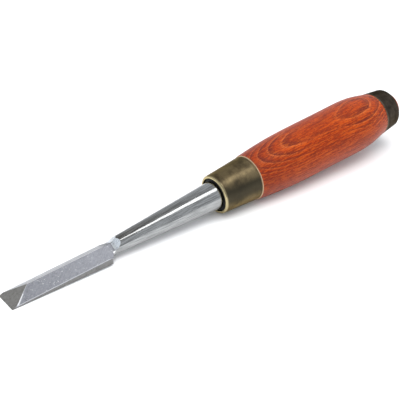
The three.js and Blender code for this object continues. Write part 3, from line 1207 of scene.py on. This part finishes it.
@dataclass
class Handle(Piece):
    """Turned wooden handle with tenons at both ends and a tang hole. Sizes in mm."""

    stations: Stations
    name: str = "wood_handle"
    node: str = "handle"
    slot: Slot = Slot.WOOD
    finishes: tuple[Finish, ...] = (StainedWood(),)
    tenon_at: float = 121.8
    tenon_radius: float = 8.955
    tenon_rear_radius: float = 10.474
    front_radius: float = 12.35
    front_round: float = 0.5
    belly_pull: float = 25.6
    belly_lift: float = 3.1
    palm_pull: float = 34.0
    palm_radius: float = 14.4
    swell_radius: float = 15.1
    swell_at: float = 211.0
    butt_pull: float = 11.0
    hoop_pull: float = 9.6
    hoop_pull_lift: float = 2.0
    hoop_radius: float = 12.45
    hoop_step: float = 0.4
    hoop_tenon: float = 10.8
    dome_radius: float = 9.65
    dome_length: float = 5.4
    hole_root: float = 7.2
    hole_tip: float = 4.0
    hole_end: float = 183.2
    highlight_at: float = 0.02
    highlight_reach: float = 0.2
    highlight_depth: float = 0.9
    columns: int = 192

    def grip(self, start: float, end: float) -> np.ndarray:
        """The grip's outline in two cubic curves, up to the swell and down to the hoop.

        Args:
            start: Where the grip starts along the axis.
            end: Where it ends, just before the hoop.

        Returns:
            (rows, 2) array of (along, radius).
        """
        rise = bezier([
            (start, self.front_radius),
            (start + self.belly_pull, self.front_radius + self.belly_lift),
            (self.swell_at - self.palm_pull, self.palm_radius),
            (self.swell_at, self.swell_radius),
        ], 72)
        fall = bezier([
            (self.swell_at, self.swell_radius),
            (self.swell_at + self.butt_pull, self.swell_radius),
            (end - self.hoop_pull, self.hoop_radius + self.hoop_pull_lift),
            (end, self.hoop_radius),
        ], 40)
        return np.vstack([rise, fall[1:]])

    def tang_hole(self) -> np.ndarray:
        """The square tang hole, from its end to the front tenon.

        Returns:
            (rows, columns, 2) array of (along, radius).
        """
        along = np.linspace(self.hole_end, self.tenon_at, 6)
        share = (along - self.tenon_at) / (self.hole_end - self.tenon_at)
        sides = self.hole_root + (self.hole_tip - self.hole_root) * share
        return np.stack([all_round(along, self.columns), square_bar(sides, self.columns)], axis=-1)

    def skin(self) -> Skin:
        """Works out the handle: tang hole, front tenon, grip, hoop's tenon and dome.

        Returns:
            The handle's skin, with a painted highlight along its front edge.
        """
        front = self.stations.ferrule_rear + self.stations.gap
        hoop = self.stations.hoop - self.stations.gap
        rear, turn = self.stations.hoop_rear, self.front_round
        outline = np.vstack([
            straight((self.tenon_at, self.tenon_radius), (front, self.tenon_rear_radius), 6),
            straight((front, self.tenon_rear_radius), (front, self.front_radius - turn), 4),
            arc((front + turn, self.front_radius - turn), (turn, turn), (180, 90), 8)[:-1],
            self.grip(front + turn, hoop),
            straight((hoop, self.hoop_radius - self.hoop_step), (hoop, self.hoop_tenon), 2),
            straight((hoop, self.hoop_tenon), (rear, self.dome_radius), 6),
            arc((rear, 0.0), (self.dome_length, self.dome_radius), (90, 3), 26),
        ])
        rows = np.vstack([self.tang_hole(), all_round(outline, self.columns)])
        # The painted highlight of the front edge, on the outside only.
        outside = rows[..., 1] > self.front_radius - self.highlight_depth
        return Skin(
            turned(rows, self.columns),
            start_pole=(self.hole_end, 0.0, 0.0),
            end_pole=(rear + self.dome_length, 0.0, 0.0),
            wear_and_sheen=raised(rows[..., 0], front + self.highlight_at, self.highlight_reach) * outside,
        )


@dataclass
class StrikingHoop(Piece):
    """Dark steel hoop round the butt. Sizes in mm."""

    stations: Stations
    name: str = "butt_hoop"
    node: str = "striking_hoop"
    slot: Slot = Slot.GUNMETAL
    finishes: tuple[Finish, ...] = (DarkHoop(),)
    front_radius: float = 12.45
    rear_radius: float = 11.3
    wall: float = 1.35
    rim: float = 0.4
    cone_run: float = 1.0
    cone_drop: float = 0.07
    rear_round: float = 1.1
    columns: int = 192

    def skin(self) -> Skin:
        """Works out the hoop: crisp front rim, straight cone, well-rounded rear lip, tapered bore.

        Returns:
            The hoop's skin.
        """
        front, rear = self.stations.hoop, self.stations.hoop_rear
        wide, small, rim, turn = self.front_radius, self.rear_radius, self.rim, self.rear_round
        outline = np.vstack([
            straight((front, wide - self.wall), (front, wide - rim), 3),
            arc((front + rim, wide - rim), (rim, rim), (180, 90), 8),
            straight((front + self.cone_run, wide - self.cone_drop), (rear - turn, small), 8),
            arc((rear - turn, small - turn), (turn, turn), (90, 0), 14),
            straight((rear, small - self.wall), (front, wide - self.wall), 6),
        ])
        rubbed = rubbing(outline, (front + 0.15, 0.5, 0.5), (rear, 0.9, 0.6))
        return Skin(turned(outline, self.columns), endless=True, wear_and_sheen=all_round(rubbed, self.columns))


# ---- bench, light and camera


def direction_of(azimuth: float, elevation: float) -> Vector:
    """Unit vector from the chisel towards a side: (sin, -cos) of the azimuth, sine of the elevation."""
    turn, lift = math.radians(azimuth), math.radians(elevation)
    return Vector((math.sin(turn) * math.cos(lift), -math.cos(turn) * math.cos(lift), math.sin(lift)))


@dataclass(frozen=True)
class Softbox:
    """A soft rectangular lamp aimed at the chisel.

    Attributes:
        name: Name of the lamp.
        azimuth: Side it stands on, in degrees: 0 in front (-Y), 90 at the butt (+X).
        elevation: Height over the bench, in degrees.
        distance: Distance from the chisel, in metres.
        size: Width and height of the lamp, in metres.
        power: Power in watts.
        mirrored: Whether polished metal shows it.
    """

    name: str
    azimuth: float
    elevation: float
    distance: float
    size: Pair
    power: float
    mirrored: bool = True

    def place(self, target: Vector) -> bpy.types.Object:
        """Puts the lamp in the scene.

        Args:
            target: Point it is aimed at, in metres.

        Returns:
            The lamp's object.
        """
        lamp = bpy.data.lights.new(self.name, "AREA")
        lamp.shape = "RECTANGLE"
        lamp.size, lamp.size_y = self.size
        lamp.energy = self.power
        holder = placed(self.name, lamp)
        away = direction_of(self.azimuth, self.elevation)
        holder.location = target + away * self.distance
        holder.rotation_euler = away.to_track_quat("Z", "Y").to_euler()
        holder.visible_camera = False
        holder.visible_glossy = self.mirrored
        return holder


@dataclass(frozen=True)
class Studio:
    """Pale bench, soft lamps and even surroundings.

    Attributes:
        floor_size: Side of the square floor, in metres.
        dim: Colour of the room's dim band.
        pale: Colour of its pale ends and front.
        dim_side: How far the dim band's middle lies towards the butt, as a direction's X.
        turn_to_pale: Distances from the band's middle between which the room turns pale.
        turn_to_front: Values of a direction's Y between which it turns to the front.
        front_share: How pale the room is before and after that.
        backdrop: Colour that the camera sees past the floor.
    """

    floor_size: float = 3.2
    floor_colour: Colour = (0.86, 0.86, 0.865)
    floor_roughness: float = 0.6
    lamps: tuple[Softbox, ...] = (
        Softbox("lamp_overhead", 0.0, 84.0, 0.9, (0.9, 0.8), 8.8, mirrored=False),
        Softbox("lamp_front", -25.0, 38.0, 0.95, (1.3, 0.7), 2.7, mirrored=False),
        Softbox("lamp_window", 48.0, 69.0, 0.75, (0.22, 0.24), 0.58),
    )
    dim: Colour = (0.29, 0.28, 0.27)
    pale: Colour = (0.77, 0.795, 0.83)
    dim_side: float = 0.08
    turn_to_pale: Pair = (0.13, 0.34)
    turn_to_front: Pair = (-0.30, -0.55)
    front_share: Pair = (0.0, 0.95)
    backdrop: Colour = (0.92, 0.92, 0.92)

    def build(self, target: Vector) -> None:
        """Makes the floor, the lamps and the surroundings.

        Args:
            target: Point the lamps are aimed at.
        """
        self.floor()
        for lamp in self.lamps:
            lamp.place(target)
        self.surround()
        bpy.context.scene.view_settings.view_transform = "Standard"

    def floor(self) -> None:
        """Makes the bench's top, a plain square under the chisel."""
        half = self.floor_size / 2
        corners = [(-half, -half, 0), (half, -half, 0), (half, half, 0), (-half, half, 0)]
        mesh = bpy.data.meshes.new("bench_top")
        mesh.from_pydata(corners, [], [(0, 1, 2, 3)])
        paint = bpy.data.materials.new("bench_paint")
        paint.use_nodes = True
        kit = NodeKit(paint.node_tree)
        shader = kit.tree.nodes["Principled BSDF"]
        kit.feed(shader.inputs["Base Color"], self.floor_colour)
        kit.feed(shader.inputs["Roughness"], self.floor_roughness)
        mesh.materials.append(paint)
        placed("bench_top", mesh)

    def surround(self) -> None:
        """Makes the room: a dim band across the middle, pale at both ends and in front.

        Its share of pale is the larger of two: how far a direction turns aside from the dim band,
        and how far it turns to the front. The camera sees a plain backdrop instead.
        """
        world = bpy.data.worlds.new("surroundings")
        world.use_nodes = True
        kit = NodeKit(world.node_tree)
        towards = kit.parts(kit.add("TexCoord").outputs["Generated"])
        aside = kit.sums("ABSOLUTE", kit.sums("SUBTRACT", towards["X"], self.dim_side))
        front = kit.span(towards["Y"], self.turn_to_front, self.front_share)
        lit = kit.sums("MAXIMUM", kit.span(aside, self.turn_to_pale), front)
        room = kit.mix(lit, self.dim, self.pale)
        seen = kit.mix(kit.add("LightPath").outputs["Is Camera Ray"], room, self.backdrop)
        kit.feed(kit.tree.nodes["Background"].inputs["Color"], seen)
        bpy.context.scene.world = world


@dataclass(frozen=True)
class Viewpoint:
    """Where the camera stands. Distances in metres, angles in degrees, lens and sensor in mm."""

    target: Point = (-0.0051, 0.0134, 0.0)
    distance: float = 0.452
    azimuth: float = -39.4
    elevation: float = 33.0
    roll: float = 1.28
    lens: float = 78.17
    sensor: float = 36.0
    nearest: float = 0.01

    def build(self) -> bpy.types.Object:
        """Makes the camera and the scene's use of it.

        Returns:
            The camera's object.
        """
        data = bpy.data.cameras.new("camera")
        data.lens = self.lens
        data.sensor_width = self.sensor
        data.clip_start = self.nearest
        camera = placed("camera", data)
        away = direction_of(self.azimuth, self.elevation)
        turn = away.to_track_quat("Z", "Y").to_matrix() @ Matrix.Rotation(math.radians(self.roll), 3, "Z")
        camera.matrix_world = Matrix.Translation(Vector(self.target) + away * self.distance) @ turn.to_4x4()
        bpy.context.scene.camera = camera
        return camera


def main() -> None:
    """Builds the chisel piece by piece, then the bench, the light and the camera."""
    logging.basicConfig(level=logging.INFO, format="%(name)s: %(message)s")
    stations = Stations()
    forging = BladeForging(stations)
    axis = TurningAxis.of_frame(frame["record"], forging.tilt, forging.edge_drop)
    log.info("axis rises %.3f degrees", math.degrees(axis.tilt))
    for piece in (forging, Washer(stations), Ferrule(stations), Handle(stations), StrikingHoop(stations)):
        piece.build(axis)
    Studio().build(Vector((0.0, 0.0, 0.0)))
    Viewpoint().build()


if __name__ == "__main__":
    main()
